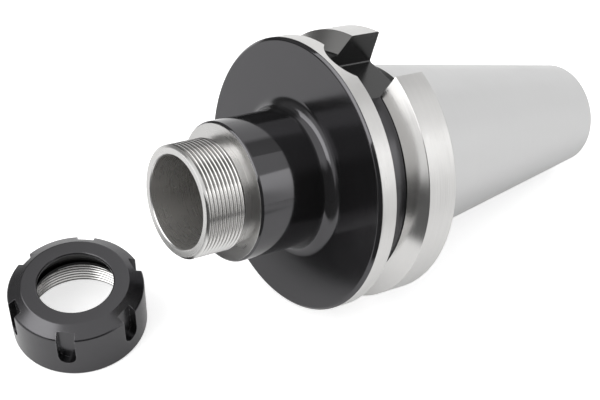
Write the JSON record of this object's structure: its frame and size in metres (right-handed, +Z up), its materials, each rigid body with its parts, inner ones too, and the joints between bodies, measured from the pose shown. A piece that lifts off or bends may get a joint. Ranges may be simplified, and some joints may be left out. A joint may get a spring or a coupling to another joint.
{
  "type": "collet chuck holder",
  "caption": "Taper shank collet chuck, lying on its side, with its slotted clamping nut taken off and standing beside the threaded nose.",
  "frame": {"origin": "under the middle of the box round the pair, on the surface that both stand on", "axes": "+Z up; +X towards the chuck's small end, with its nose and the nut at -X; +Y to the side that the nut stands on"},
  "size_m": [0.2426, 0.1, 0.1036],
  "materials": {
    "holder": "ground bright on the taper and the lands, black oxide elsewhere",
    "nut": "black oxide, satin"
  },
  "bodies": {
    "chuck": {"holder_body": "holder"},
    "nut": {"clamping_nut": "nut"}
  },
  "joints": [
    {"name": "nut_lift", "type": "slide", "parent": "chuck", "child": "nut", "axis": [0, 0, 1], "range_m": [0, 0.11]}
  ]
}
